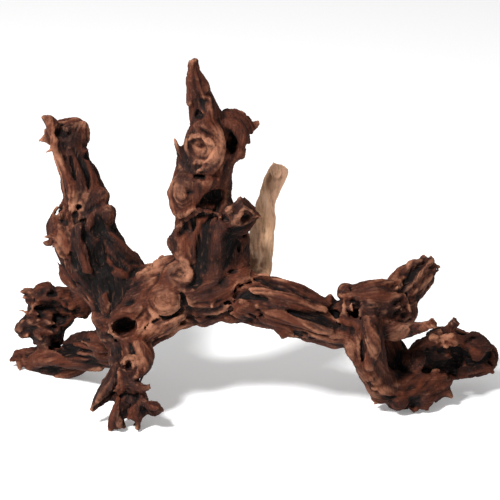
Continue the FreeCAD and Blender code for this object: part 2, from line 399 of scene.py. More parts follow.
def blurred(field, radius):
    """The field averaged over a cube of 2 x radius + 1 voxels."""
    for axis in range(3):
        pad = [(0, 0)] * 3
        pad[axis] = (radius + 1, radius)
        sums = np.cumsum(np.pad(field, pad, mode="edge"), axis=axis, dtype=np.float32)
        size = 2 * radius + 1
        high = [slice(None)] * 3
        low = [slice(None)] * 3
        high[axis] = slice(size, None)
        low[axis] = slice(0, -size)
        field = (sums[tuple(high)] - sums[tuple(low)]) / size
    return field


def read_field(field, points):
    """The field at points (rows), between its voxels."""
    p = (points - ORIGIN) / CELL
    base = np.clip(np.floor(p).astype(int), 0, np.array(field.shape) - 2)
    total = np.zeros(len(points))
    for corner, weight in corner_weights((p - base).T):
        total += weight * field[tuple((base + corner).T)]
    return total


def patch(points, centre, radius):
    """1 at centre, fading to 0 at radius."""
    away = np.linalg.norm(points - np.array(centre)[:, None], axis=0) / radius
    return np.clip(1.3 - 1.3 * away, 0, 1).astype(np.float32)


# ---- modelling tools

PIECES = CASTINGS + [PLUG]
solids = {name: solid_field(name) for name in PIECES + PINS}
clay = Clay(melt_castings(solids))
tile_soft = noise_tile(1.3)
tile_sharp = noise_tile(0.8)
knots = []          # (place, outward direction, radius): fibres swirl round these
calm_places = []    # (place, radius, strength): weather has left these smooth
stains_and_painted_light = []         # (place, radius, tone, warmth): tone is below 0 for dark and above 0 for pale; the patches are partly real stains and partly painted shade and painted highlight


class Wood:
    """One casting, with tools that work on it at shares of its box's width and height."""

    def __init__(self, node):
        self.node = node

    def pit(self, across, up, width, depth):
        """A rotted-out knot: a hole with a raised rim."""
        place = seen(self.node, across, up)
        clay.rimmed_pit(place, outward(self.node, place), width, depth)

    def hollow_out(self, across, up, sizes):
        """A dark hollow without a rim: half-width, half-height and depth."""
        place = seen(self.node, across, up)
        clay.blob(place, (sizes[0], sizes[2], sizes[1]), k=3.0, cut=True)

    def tunnel(self, across, up, width, length):
        """A gap that runs from front to back."""
        place = seen(self.node, across, up)
        half = np.array((0, length / 2, 0))
        clay.tube([place - half, place + half], (width, width * 0.8), k=3.0, cut=True)

    def knob(self, across, up, size, lift=0.0):
        clay.blob(seen(self.node, across, up, lift), (size, size * 0.9, size), k=3.0)

    def cord(self, places, radii, lift=1.0):
        """A strand of wood over the skin, through places on one casting."""
        clay.tube([seen(self.node, across, up, lift) for across, up in places], radii, k=2.5)

    def crack(self, places, width):
        """A groove along the wood, deepest in its middle."""
        places = [seen(self.node, across, up) for across, up in places]
        clay.tube(places, (width / 2, width, width / 2), cut=True)

    def horn(self, across, up, way, length, width):
        """A broken spike of wood that points along way."""
        root = seen(self.node, across, up, -width * 0.6)
        way = np.array(way, float) / np.linalg.norm(way)
        bend = np.array((0.0, 0.0, 0.12 * length))
        points = [root, root + way * length * 0.55 + bend, root + way * length]
        clay.tube(points, (width, width * 0.65, width * 0.22), k=2.5)

    def swirl(self, across, up, size, thick, depth, turns=1.0):
        """A burl: an uneven strand coiled round a hollow, with the fibres swirling about it.

        Where depth is 0 it coils round a lump instead.
        """
        place = seen(self.node, across, up)
        out = outward(self.node, place)
        side, rise, _ = turn_to(out)
        lean = rng.uniform(0, 2 * math.pi, 3)
        coil = []
        for step in np.linspace(0, 1, int(12 * turns) + 1):
            angle = lean[0] + 2 * math.pi * turns * step
            reach = size * (1 - 0.4 * step)
            reach *= 1 + 0.24 * math.sin(2 * angle + lean[1]) + 0.14 * math.sin(3 * angle + lean[2])
            coil.append(place + side * reach * math.cos(angle) + rise * reach * 0.8 * math.sin(angle))
        coil = [np.array(trees[self.node].find_nearest(Vector(p))[0]) + out * thick * 0.15 for p in coil]
        clay.tube(coil, (thick * 0.4, thick, thick * 0.6, thick * 1.1, thick * 0.5), k=4.0)
        knots.append((place, out, size * 1.2))
        if not depth:
            clay.blob(place, (size * 0.5, size * 0.6, thick * 0.8), along=out, k=3.0)
            return
        nook = place + side * size * 0.2 * math.cos(lean[1]) + rise * size * 0.2 * math.sin(lean[1])
        clay.blob(nook, (size * 0.5, size * 0.32, depth), along=out, k=4.0, cut=True)
        clay.blob((place + nook) / 2, (size * 0.25, size * 0.5, depth * 0.7), along=out, k=4.0, cut=True)

    def calm(self, across, up, radius, strength):
        calm_places.append((seen(self.node, across, up), radius, strength))

    # Makes a round patch darker or paler: real stains and bark, and also painted shade in hollows and on
    # shaded faces, and painted highlight on lit ones.
    def stain_and_painted_light(self, across, up, radius, tone_and_painted_light, warmth=0.0):
        stains_and_painted_light.append((seen(self.node, across, up), radius, tone_and_painted_light, warmth))


OUTSIDE = 60    # mm from a casting's middle to a point well outside it


def from_outside(name, middle, ray):
    """Where a casting is met by a line that comes in against ray, towards its middle."""
    return trees[name].ray_cast(Vector(middle + ray * OUTSIDE), Vector(-ray), OUTSIDE)


def wind_strands(name, count, thick):
    """Cords and cracks that wind along a casting, half sunk in its skin."""
    middles = spine(*solids[name])
    if len(middles) < 4:
        return
    ways = np.gradient(middles, axis=0)
    ways /= np.linalg.norm(ways, axis=1)[:, None]
    side = turn_to(ways[0])[0]
    rails = []
    for way in ways:
        side = side - way * float(side @ way)
        side = side / np.linalg.norm(side)
        rails.append((side, np.cross(way, side)))
    last = len(middles) - 1
    for number in range(2 * count):
        start = rng.integers(0, max(last // 3, 1))
        end = last - rng.integers(0, max(last // 3, 1))
        angle = math.pi * (number + 0.5 * rng.random()) / count
        twist = rng.uniform(-0.9, 0.9)
        wave = rng.uniform(0, 2 * math.pi)
        width = thick * rng.uniform(0.7, 1.2)
        line = []
        for at in np.arange(start, end + 1, 2):
            share = at / last
            turn = angle + twist * share + 0.35 * math.sin(5 * share + wave)
            ray = rails[at][0] * math.cos(turn) + rails[at][1] * math.sin(turn)
            hit = from_outside(name, middles[at], ray)[0]
            if hit is not None:
                line.append(np.array(hit) - ray * width * 0.25)
        if len(line) < 3:
            continue
        if number % 2:
            clay.tube(line, (width * 0.2, width * 0.45, width * 0.2), k=2.0, cut=True)
        else:
            clay.tube(line, (width * 0.5, width, width * 0.9, width * 0.5), k=3.0)


def weather(name, count, size):
    """Scatters small knobs, pits, chips and splinters over a casting."""
    middles = spine(*solids[name])
    for number in range(count):
        middle = middles[rng.integers(0, len(middles))]
        ray = rng.standard_normal(3)
        ray /= np.linalg.norm(ray)
        hit, normal, _, _ = from_outside(name, middle, ray)
        width = size * rng.uniform(0.6, 1.3)
        lie = rng.standard_normal(3)
        if hit is None:
            continue
        place, out = np.array(hit), np.array(normal)
        lie = np.cross(out, lie)
        if number % 4 == 0:
            clay.blob(place, (width * 1.1, width * 0.9, width * 1.7), along=lie, k=3.0)
        elif number % 4 == 1:
            clay.blob(place, (width * 0.5, width * 0.8, width * 1.4), along=lie, k=3.0, cut=True)
        elif number % 4 == 2:
            clay.tube([place - out * width, place + out * width * 0.5 + lie * 0.3 * width,
                       place + out * width * 1.1 + lie * width], (width, width * 0.6, width * 0.25))
        else:
            clay.blob(place + out * width * 0.5, (width * 1.1, width * 1.3, width * 0.9), along=out,
                      k=1.5, cut=True)


# How each casting is grained: how gnarled (0 smooth, 1 a rotten root), its strands and their
# thickness, its marks of wear and their size.
GRAIN = {
    "trunk": (0.5, 10, 4.4, 26, 4.0), "upper_left_limb": (0.6, 7, 4.4, 34, 3.8),
    "upper_left_tip": (0.35, 6, 3.4, 12, 3.2), "crown_limb": (0.6, 7, 4.4, 26, 4.0),
    "crown_spire": (0.5, 5, 2.4, 14, 2.4), "crown_burl": (0.6, 5, 3.2, 16, 3.4),
    "crown_sliver": (0.1, 0, 0, 0, 0), "saddle_knob": (0.4, 4, 3.0, 6, 2.6),
    "pale_branch": (0.08, 0, 0, 3, 1.8), "right_limb": (0.35, 10, 4.0, 20, 3.4),
    "right_knuckle": (0.7, 6, 3.8, 26, 3.8), "right_pillar": (0.5, 6, 3.6, 14, 3.2),
    "right_stub": (0.4, 5, 3.2, 14, 3.2), "right_twig": (0.3, 3, 2.2, 6, 2.0),
    "right_basin": (0.8, 5, 3.8, 28, 4.0), "right_root": (0.8, 6, 4.0, 38, 4.4),
    "root_stub": (0.3, 0, 0, 4, 2.4), "cave_back": (0.5, 5, 3.6, 10, 3.6),
    "left_limb": (0.4, 7, 4.0, 20, 3.4), "left_rosette": (0.9, 5, 3.6, 60, 4.4),
    "front_foot": (0.7, 6, 3.2, 36, 3.2), "foot_toe": (0.4, 0, 0, 5, 2.2),
    "foot_claw": (0.5, 3, 2.2, 8, 2.2), "foot_spur": (0.4, 0, 0, 5, 2.0),
    PLUG: (0.3, 0, 0, 0, 0)}


# ---- each casting's own forms

def shape_crown():
    """A spiralling burl bowl below a blunt spike, a split burl beside it, a deep void beneath."""
    spire = Wood("crown_spire")
    burl = Wood("crown_burl")
    limb = Wood("crown_limb")
    saddle = Wood("saddle_knob")
    spire.swirl(0.4, 0.3, 16, 5.0, 11, turns=1.3)
    spire.pit(0.35, 0.55, 4, 6)
    spire.knob(0.15, 0.65, 3.5)
    spire.knob(0.5, 0.75, 3)
    spire.calm(0.3, 0.9, 14, 0.6)
    spire.cord([(0.45, 0.5), (0.7, 0.42), (0.75, 0.3), (0.6, 0.18), (0.35, 0.12)], (3, 5, 5.5, 5, 3), 3)
    spire.hollow_out(0.25, 0.27, (7, 9, 11))
    burl.hollow_out(0.45, 0.6, (6, 14, 18))
    # Painted shade in the burl's split, and a darker patch on its right.
    burl.stain_and_painted_light(0.4, 0.5, 12, -0.9)
    burl.stain_and_painted_light(0.75, 0.7, 16, -0.9)
    burl.cord([(0.4, 0.85), (0.6, 0.8), (0.75, 0.55), (0.7, 0.25)], (3, 4, 3))
    burl.knob(0.65, 0.15, 5, 1)
    burl.horn(0.2, 0.85, (-0.2, -0.2, 1), 12, 4)
    limb.cord([(0.05, 0.75), (0.2, 0.9), (0.5, 0.9), (0.65, 0.95)], (3.4, 4.2, 3.2), 2)
    limb.cord([(0.05, 0.75), (0.1, 0.6), (0.3, 0.65)], (4, 4.2, 3.4), 2)
    limb.hollow_out(0.55, 0.75, (13, 9, 17))
    limb.hollow_out(0.35, 0.95, (13, 4, 8))
    limb.crack([(0.1, 0.6), (0.35, 0.6), (0.6, 0.65)], 5)
    clay.blob(seen("crown_limb", 0.15, 0.8, 1), (9, 8, 13), k=5.0)
    limb.swirl(0.2, 0.8, 10, 3.2, 7)
    # Painted shade in the void.
    limb.stain_and_painted_light(0.5, 0.75, 14, -1.0)
    limb.cord([(0.35, 0.65), (0.15, 0.5), (0.05, 0.3), (0.2, 0.15)], (3.8, 4.8, 4), 2)
    limb.cord([(0.35, 0.65), (0.6, 0.6), (0.75, 0.45)], (3.4, 4.2, 3.4), 2)
    clay.blob(seen("crown_limb", 0.6, 0.35, -4), (17, 10, 19), k=8.0)
    limb.calm(0.6, 0.3, 32, 0.85)
    saddle.swirl(0.6, 0.6, 10, 3.8, 8)
    saddle.knob(0.3, 0.7, 6, 2)
    spire.stain_and_painted_light(0.5, 0.3, 20, 0.6)
    limb.stain_and_painted_light(0.6, 0.3, 30, -0.8)
    limb.stain_and_painted_light(0.2, 0.75, 18, 0.3, 0.5)
    saddle.stain_and_painted_light(0.4, 0.6, 14, 0.6)


def shape_upper_left():
    """A broken, forked top and a limb with an eye hollow, pits and a dark recess."""
    tip = Wood("upper_left_tip")
    limb = Wood("upper_left_limb")
    tip.horn(0.25, 0.85, (-0.8, 0, 1), 22, 8)
    tip.horn(0.15, 0.75, (-1, -0.1, 0.1), 14, 6)
    tip.horn(0.2, 0.65, (-1, -0.2, -0.2), 11, 4.5)
    tip.hollow_out(0.35, 0.9, (7, 5, 8))
    tip.cord([(0.4, 0.95), (0.7, 0.95), (0.85, 0.8)], (4, 4.4, 3.4), 0)
    tip.cord([(0.2, 0.75), (0.35, 0.5), (0.5, 0.2)], (4, 4.8, 4), 2)
    tip.crack([(0.45, 0.8), (0.5, 0.5), (0.6, 0.2)], 2.2)
    tip.calm(0.7, 0.5, 16, 0.8)
    limb.swirl(0.1, 0.55, 8, 3.2, 6)
    limb.pit(0.3, 0.9, 3.5, 5)
    limb.pit(0.35, 0.8, 3, 5)
    limb.knob(0.5, 0.95, 7, 2)
    limb.knob(0.6, 0.85, 9, 1)
    limb.knob(0.3, 0.75, 6, 1)
    limb.knob(0.12, 0.83, 6)
    limb.horn(0.1, 0.65, (-1, -0.2, 0.3), 14, 4.5)
    limb.hollow_out(0.5, 0.6, (9, 12, 8))
    limb.cord([(0.3, 0.75), (0.3, 0.6), (0.35, 0.45)], (3.4, 4, 3), 2)
    limb.crack([(0.2, 0.7), (0.25, 0.5), (0.4, 0.35)], 4)
    # Painted highlight on the tip's left face; painted shade on its right face, in the limb's recess and
    # down the limb's right side.
    tip.stain_and_painted_light(0.25, 0.55, 15, 0.8, 0.4)
    tip.stain_and_painted_light(0.75, 0.5, 20, -1.2, 0.3)
    limb.stain_and_painted_light(0.55, 0.55, 34, -0.9)
    limb.stain_and_painted_light(0.9, 0.25, 26, -0.8)
    limb.stain_and_painted_light(0.3, 0.95, 12, 0.5)


def shape_trunk():
    """A swirled knot in the middle, a black hollow at the left, a loop of wood on the shoulder."""
    trunk = Wood("trunk")
    trunk.swirl(0.45, 0.7, 14, 4.6, 0, turns=1.4)
    trunk.swirl(0.3, 0.85, 10, 4.2, 5)
    trunk.swirl(0.55, 0.9, 11, 4.6, 0)
    nook = foremost("trunk", 0.2, 0.4)
    clay.rimmed_pit(nook, (0, -1, 0.35), 11, 17)
    # Painted shade: the black hollow is darkened in colour as well as cut.
    stains_and_painted_light.append((nook, 12, -1.0, 0.0))
    trunk.cord([(0.1, 0.65), (0.2, 0.55), (0.3, 0.6)], (3, 3.8, 3), 2)
    trunk.cord([(0.45, 0.5), (0.35, 0.35), (0.25, 0.2)], (2.6, 3.6, 3), 0)
    trunk.crack([(0.4, 0.5), (0.3, 0.35), (0.25, 0.25)], 3)
    trunk.crack([(0.5, 0.45), (0.4, 0.3), (0.3, 0.2)], 3)
    trunk.crack([(0.2, 0.75), (0.3, 0.7), (0.35, 0.65)], 2.6)
    trunk.crack([(0.55, 0.75), (0.6, 0.6), (0.6, 0.45)], 3.4)
    trunk.crack([(0.35, 0.6), (0.45, 0.52), (0.55, 0.58)], 3)
    trunk.crack([(0.37, 0.75), (0.42, 0.66), (0.47, 0.6)], 2.6)
    trunk.crack([(0.42, 0.8), (0.5, 0.74), (0.53, 0.64)], 2.6)
    trunk.calm(0.15, 0.75, 16, 0.5)
    trunk.stain_and_painted_light(0.15, 0.75, 20, -0.7)
    trunk.stain_and_painted_light(0.35, 0.4, 28, 0.5, 1.0)
    trunk.stain_and_painted_light(0.45, 0.7, 15, 0.6, 0.5)
    trunk.stain_and_painted_light(0.3, 0.9, 20, 0.8)
    trunk.stain_and_painted_light(0.55, 0.9, 13, 0.5)


def shape_right_limb():
    """Long smooth strands with deep slots between them, slanting down to the right."""
    limb = Wood("right_limb")
    limb.cord([(0.0, 0.9), (0.1, 0.7), (0.25, 0.5)], (3, 4.2, 3.4), 2)
    limb.cord([(0.15, 0.8), (0.4, 0.75), (0.6, 0.65), (0.8, 0.55)], (3.6, 5, 4), 2)
    limb.cord([(0.25, 0.6), (0.45, 0.5), (0.65, 0.4), (0.85, 0.3)], (3.6, 4.6, 4), 2)
    limb.crack([(0.3, 0.9), (0.4, 0.85), (0.5, 0.8)], 3.6)
    limb.crack([(0.55, 0.75), (0.65, 0.7), (0.75, 0.6)], 4.2)
    limb.crack([(0.4, 0.55), (0.6, 0.5), (0.8, 0.4)], 3.6)
    limb.hollow_out(0.15, 0.75, (3, 5, 6))
    limb.horn(0.85, 0.6, (0.4, -0.3, -1), 26, 5)
    limb.calm(0.5, 0.6, 30, 0.4)
    limb.stain_and_painted_light(0.2, 0.8, 24, 0.2, 0.8)


def shape_right_arm():
    """Twin strands run from the knuckle to the ground past holes. A chipped stub stands on it."""
    pillar = Wood("right_pillar")
    knuckle = Wood("right_knuckle")
    stub = Wood("right_stub")
    twig = Wood("right_twig")
    back = Wood("cave_back")
    pillar.cord([(0.05, 0.9), (0.1, 0.6), (0.4, 0.3)], (4.4, 5, 4), 2)
    pillar.cord([(0.4, 0.95), (0.45, 0.7), (0.4, 0.45)], (4.4, 5.2, 3.4), 3)
    pillar.crack([(0.25, 0.9), (0.25, 0.65), (0.35, 0.4)], 3.2)
    knuckle.swirl(0.3, 0.7, 5, 2.4, 5)
    knuckle.knob(0.15, 0.85, 8)
    knuckle.cord([(0.15, 0.9), (0.15, 0.65), (0.2, 0.35)], (3.4, 4.6, 4), 1)
    knuckle.cord([(0.35, 0.95), (0.45, 0.65), (0.4, 0.35)], (3.4, 4.8, 4), 1)
    knuckle.crack([(0.25, 0.85), (0.3, 0.6), (0.3, 0.35)], 3)
    knuckle.cord([(0.55, 0.5), (0.65, 0.75), (0.85, 0.75), (0.9, 0.5)], (3, 3, 3), 1)
    knuckle.calm(0.75, 0.55, 14, 0.7)
    knuckle.crack([(0.45, 0.6), (0.55, 0.35), (0.75, 0.25)], 4.4)
    stub.cord([(0.2, 0.6), (0.5, 0.9), (0.85, 0.95)], (4, 5, 4), 0)
    stub.crack([(0.2, 0.5), (0.5, 0.7), (0.75, 0.9)], 2.4)
    stub.calm(0.7, 0.6, 14, 0.6)
    stub.horn(0.8, 0.9, (0.4, -0.1, 1), 8, 4)
    twig.stain_and_painted_light(0.8, 0.7, 12, 0.3, 1.0)
    stub.stain_and_painted_light(0.75, 0.55, 12, 0.6)
    pillar.stain_and_painted_light(0.2, 0.7, 14, 0.4)
    # Painted shade over the back of the cave.
    back.stain_and_painted_light(0.5, 0.5, 34, -1.0)


def shape_right_root():
    """An eye hollow ringed by a strand, a smooth dark flank, and a rim round the basin."""
    root = Wood("right_root")
    basin = Wood("right_basin")
    root.swirl(0.4, 0.7, 8, 3.2, 6)
    root.knob(0.5, 0.85, 6, 2)
    root.cord([(0.55, 0.85), (0.75, 0.85), (0.9, 0.6)], (4, 5, 4), 1)
    root.horn(0.85, 0.3, (0.8, -0.2, -0.6), 14, 5)
    for across, up in ((0.15, 0.6), (0.3, 0.9), (0.55, 0.6), (0.6, 0.3), (0.3, 0.4)):
        root.knob(across, up, 6, 2)
    root.crack([(0.2, 0.8), (0.3, 0.55), (0.5, 0.45)], 4)
    root.crack([(0.55, 0.75), (0.6, 0.5), (0.55, 0.25)], 4)
    root.calm(0.75, 0.5, 18, 0.85)
    basin.cord([(0.15, 0.7), (0.5, 0.7), (0.85, 0.75)], (4.4, 5, 4), 2)
    basin.crack([(0.3, 0.85), (0.6, 0.85), (0.85, 0.9)], 3)
    basin.knob(0.35, 0.35, 8)
    basin.knob(0.65, 0.3, 7)
    basin.horn(0.15, 0.15, (-0.7, -0.3, -0.2), 9, 4)
    basin.horn(0.6, 0.15, (0.6, -0.5, -0.3), 9, 4)
    basin.horn(0.85, 0.35, (0.8, -0.3, -0.4), 12, 4.5)
    basin.crack([(0.3, 0.35), (0.4, 0.2), (0.45, 0.05)], 4)
    basin.crack([(0.65, 0.4), (0.7, 0.25), (0.75, 0.1)], 4)
    root.stain_and_painted_light(0.7, 0.45, 30, -1.0)
    root.stain_and_painted_light(0.45, 0.85, 12, 0.5, 1.0)
    # Painted shade along the basin's bottom.
    basin.stain_and_painted_light(0.5, 0.1, 26, -1.2)
    basin.stain_and_painted_light(0.45, 0.6, 16, 0.6, 0.8)


def shape_left_root():
    """A ragged rosette round a black bowl, with horns, above a long low toe."""
    rosette = Wood("left_rosette")
    limb = Wood("left_limb")
    for up, length in ((0.95, 14), (0.8, 10), (0.6, 13), (0.45, 12)):
        rosette.horn(0.15, up, (-1, -0.3, 0.4), length, 5)
    for across in (0.3, 0.45, 0.6, 0.8):
        rosette.horn(across, 0.95, (across - 0.5, -0.3, 1), 7, 4.5)
    rosette.hollow_out(0.5, 0.95, (9, 4, 7))
    for across, up in ((0.2, 0.5), (0.45, 0.55), (0.65, 0.5), (0.85, 0.6)):
        rosette.knob(across, up, 5, 2)
    rosette.cord([(0.15, 0.45), (0.4, 0.5), (0.65, 0.5), (0.9, 0.6)], (3.4, 4.2, 3.4), 3)
    rosette.swirl(0.75, 0.9, 7, 2.4, 4)
    rosette.hollow_out(0.4, 0.7, (6, 5, 10))
    rosette.pit(0.65, 0.7, 2.8, 4)
    rosette.knob(0.95, 0.75, 6)
    rosette.knob(0.05, 0.4, 8, 3)
    rosette.knob(0.1, 0.8, 6, 3)
    limb.cord([(0.1, 0.25), (0.4, 0.3), (0.7, 0.35)], (4.4, 5.4, 4.4), 1)
    limb.cord([(0.6, 0.7), (0.75, 0.7), (0.9, 0.65)], (2.4, 2.8, 2.2), 3)
    limb.crack([(0.25, 0.45), (0.45, 0.45), (0.7, 0.5)], 3)
    limb.calm(0.5, 0.6, 26, 0.7)
    limb.stain_and_painted_light(0.5, 0.7, 28, -0.8)
    # Painted shade in the rosette's bowl.
    rosette.stain_and_painted_light(0.5, 0.9, 16, -0.7)
    rosette.stain_and_painted_light(0.6, 0.7, 12, 0.2, 0.7)


def shape_front_foot():
    """Ragged flakes and strands round a ringed knob and a dark gap."""
    foot = Wood("front_foot")
    toe = Wood("foot_toe")
    foot.swirl(0.4, 0.75, 7, 2.8, 5)
    foot.cord([(0.55, 0.9), (0.65, 0.75), (0.5, 0.6), (0.2, 0.45)], (4, 4.4, 2.6), 3)
    foot.cord([(0.25, 0.65), (0.5, 0.5), (0.8, 0.5)], (3, 3, 3), 3)
    foot.hollow_out(0.4, 0.4, (9, 5, 10))
    foot.tunnel(0.4, 0.08, 5, 50)
    foot.tunnel(1.0, 0.05, 7, 60)
    foot.crack([(0.08, 1.0), (0.12, 0.85), (0.15, 0.7)], 7)
    foot.crack([(0.75, 0.65), (0.85, 0.55), (0.85, 0.45)], 5)
    foot.swirl(0.85, 0.35, 6, 2.6, 3)
    foot.cord([(0.65, 0.35), (0.82, 0.33), (0.95, 0.3)], (4.5, 5, 4.5), 0)
    for tilt in (-0.9, -0.55, -0.2):
        foot.horn(0.15, 0.7, (tilt, -0.5, -1), 18, 3)
    toe.knob(0.5, 0.25, 5)
    foot.crack([(0.3, 0.35), (0.3, 0.2), (0.3, 0.05)], 4)
    foot.hollow_out(0.9, 0.15, (5, 6, 12))
    # Painted shade round the low hollow at the right (first patch) and in the dark gap (third patch).
    foot.stain_and_painted_light(0.75, 0.15, 14, -0.7)
    foot.stain_and_painted_light(0.5, 0.75, 12, 0.6)
    foot.stain_and_painted_light(0.4, 0.4, 10, -1.0)


def shape_pale_branch():
    """A bleached branch with a bark patch, a nub on its edge and a rounded end."""
    branch = Wood("pale_branch")
    branch.knob(0.25, 0.65, 3)
    branch.knob(0.75, 0.95, 7)
    branch.stain_and_painted_light(0.6, 0.85, 8, -0.7)
    branch.stain_and_painted_light(0.3, 0.2, 18, -0.7)


# ---- relief over the whole skin

RELIEF_REACH = 6.5      # mm either side of the skin that the relief changes
STRAND_RELIEF = 2.7     # heights in mm of the relief's strands, cords, lumps and burrs
STRAND_GNARL = 1.1
CORD_RELIEF = 0.8
LUMP_RELIEF = 3.0
BURR_RELIEF = 2.2


def roughen(field, flow):
    """Presses strands, fibres and lumps into the skin, less where the wood is thin or worn smooth."""
    near = np.abs(field) < RELIEF_REACH
    index = np.argwhere(near)
    places = (index * CELL + ORIGIN).T.astype(np.float32)
    gnarl = np.zeros(len(index), np.float32)
    share = np.full(len(index), 1e-4, np.float32)
    for name in PIECES:
        first, block = solids[name]
        local = index - first
        rows = np.nonzero(np.all((local >= 0) & (local < block.shape), axis=1))[0]
        weight = np.exp(-np.maximum(block[tuple(local[rows].T)], 0) / 3.0)
        gnarl[rows] += GRAIN[name][0] * weight
        share[rows] += weight
    gnarl /= share
    body = np.clip(blurred((field < 0).astype(np.float32), 5)[near] / 0.38, 0.2, 1)
    strands = flow.fibres(places, tile_soft, 12.0, 3.0, 10)
    cords = flow.fibres(places, tile_soft, 5.0, 2.0, 9)
    lumps = soft_noise(tile_soft, places, 30.0)
    burrs = soft_noise(tile_soft, places + 31, 15.0)
    billow = np.minimum(np.abs(strands), 1.6) ** 0.6 - 0.8
    press = -(STRAND_RELIEF + STRAND_GNARL * gnarl) * billow
    press -= CORD_RELIEF * np.clip(cords, -2.2, 1.6)
    press -= LUMP_RELIEF * gnarl * np.clip(lumps, -1.6, 1.6)
    press -= BURR_RELIEF * gnarl * np.clip(burrs, -1.6, 1.6)
    for centre, radius, strength in calm_places:
        press *= 1 - strength * patch(places, centre, radius)
    pressed = np.zeros(SHAPE, np.float32)
    pressed[near] = press * body
    return field + blurred(pressed, 1)


# ---- skins

def quads_of(field, first):
    """The field's surface as points in mm and quads. first is the field's first voxel."""
    grid = vdb.FloatGrid(3.0)
    grid.copyFromArray(np.clip(field / CELL, -3, 3).astype(np.float32))
    places, faces = grid.convertToQuads(isovalue=0.0)
    return (places.astype(np.float64) + first) * CELL + ORIGIN, faces.astype(np.int64)


def clusters(count, faces):
    """A number for each point, the same for all the points of one connected surface."""
    label = np.arange(count)
    while True:
        new = label.copy()
        np.minimum.at(new, faces.ravel(), np.repeat(label[faces].min(1), 4))
        new = new[new]
        if np.array_equal(new, label):
            return label
        label = new


def keep_points(places, faces, kept):
    """Only the faces whose points are all kept, with the points renumbered."""
    faces = faces[kept[faces].all(1)]
    used = np.unique(faces)
    renumber = np.zeros(len(places), np.int64)
    renumber[used] = np.arange(len(used))
    return places[used], renumber[faces]


PIN_COVER = 5    # resin in mm over every pin before the skin is roughened
CRUMB = 400      # a loose surface with fewer points than this is a crumb
SPECK = 90       # and one within a casting with fewer than this is a speck
OVERLAP = 0.35   # how far neighbouring castings reach into each other at a joint


def crumbs_of(field):
    """Points of every loose crumb that floats free of the ornament."""
    places, faces = quads_of(field, 0)
    label = clusters(len(places), faces)
    ids, counts = np.unique(label, return_counts=True)
    return places[np.isin(label, ids[counts < CRUMB])]


def piece_skin(name, field, crumbs):
    """The closed skin of one casting: its share of the field, cut off at its joints."""
    first, block = solids[name]
    where = block_slices(first, block)
    nearest = np.full(block.shape, float(REACH), np.float32)
    rods = np.full(block.shape, float(REACH), np.float32)
    for other, (start, other_block) in solids.items():
        low = np.maximum(first, start)
        high = np.minimum(first + block.shape, start + other_block.shape)
        if other == name or np.any(high <= low):
            continue
        mine = tuple(slice(a, b) for a, b in zip(low - first, high - first))
        theirs = tuple(slice(a, b) for a, b in zip(low - start, high - start))
        target = rods if other in PINS else nearest
        target[mine] = np.minimum(target[mine], other_block[theirs])
    share = np.maximum(field[where], (block - nearest) / 2 - OVERLAP)
    share = np.maximum(share, -rods)
    for axis in range(3):
        edge = [slice(None)] * 3
        for side in (0, -1):
            edge[axis] = side
            share[tuple(edge)] = np.maximum(share[tuple(edge)], 1.0)
    places, faces = quads_of(share, first)
    label = clusters(len(places), faces)
    ids, counts = np.unique(label, return_counts=True)
    kept = np.isin(label, ids[counts >= SPECK])
    if len(crumbs):
        for number in ids[(counts >= SPECK) & (counts < CRUMB)]:
            member = places[label == number][0]
            if np.linalg.norm(crumbs - member, axis=1).min() < 1.5 * CELL:
                kept &= label != number
    return keep_points(places, faces, kept)


def vertex_normals(places, faces):
    a, b, c, d = (places[faces[:, i]] for i in range(4))
    face = np.cross(c - a, d - b)
    normal = np.zeros_like(places)
    for i in range(4):
        np.add.at(normal, faces[:, i], face)
    return normal / (np.linalg.norm(normal, axis=1)[:, None] + 1e-9)


# ---- modelling, step by step

for casting, (_, strand_count, strand_thick, mark_count, mark_size) in GRAIN.items():
    if strand_count:
        wind_strands(casting, strand_count, strand_thick)
    if mark_count:
        weather(casting, mark_count, mark_size)
for shape in (shape_crown, shape_upper_left, shape_trunk, shape_right_limb, shape_right_arm,
              shape_right_root, shape_left_root, shape_front_foot, shape_pale_branch):
    shape()

for name in PINS:
    first, block = solids[name]
    where = block_slices(first, block)
    clay.field[where] = np.minimum(clay.field[where], block - PIN_COVER)

flow = Flow(clay.field, {n: solids[n] for n in CASTINGS}, knots)
clay.field = roughen(clay.field, flow)
heights = ORIGIN[2] + np.arange(SHAPE[2]) * CELL
clay.field = np.maximum(clay.field, -heights[None, None, :].astype(np.float32))
crumbs = crumbs_of(clay.field)
skins = {name: piece_skin(name, clay.field, crumbs) for name in PIECES}
points = np.vstack([places for places, _ in skins.values()])
fine = flow.fibres(points.T.astype(np.float32), tile_sharp, 2.4, 1.0, 8)
streak = flow.fibres(points.T.astype(np.float32), tile_soft, 5.0, 2.5, 12)
# cavity and hollow measure how convex or concave the skin is, finely and broadly. From them the material
# paints highlight on crests and shade in hollows.
tight = blurred(clay.field, 2)
cavity = read_field(tight, points)
hollow = read_field(blurred(tight, 6), points)
# The listed patches made darker or paler: partly real stains, partly painted shade and painted
# highlight.
tone_and_painted_light = np.zeros(len(points), np.float32)
warmth = np.zeros(len(points), np.float32)
for centre, radius, shade, heat in stains_and_painted_light:
    share = patch(points.T, centre, radius * 1.3)
    tone_and_painted_light += shade * share
    warmth += heat * share


# ---- pieces

STRETCH = 0.1    # how far the grain's coordinates are squeezed along a casting


def grain_of(name, places):
    """Coordinates squeezed along the casting, so that noise read at them runs as fibres."""
    middles = spine(*solids[name])
    local = places @ np.array(turn_to(middles[-1] - middles[0] + 1e-3)).T
    local[:, 2] *= STRETCH
    return local / MM


def add_attribute(mesh, name, values):
    vector = values.ndim == 2
    attribute = mesh.attributes.new(name, "FLOAT_VECTOR" if vector else "FLOAT", "POINT")
    attribute.data.foreach_set("vector" if vector else "value", values.astype(np.float32).ravel())


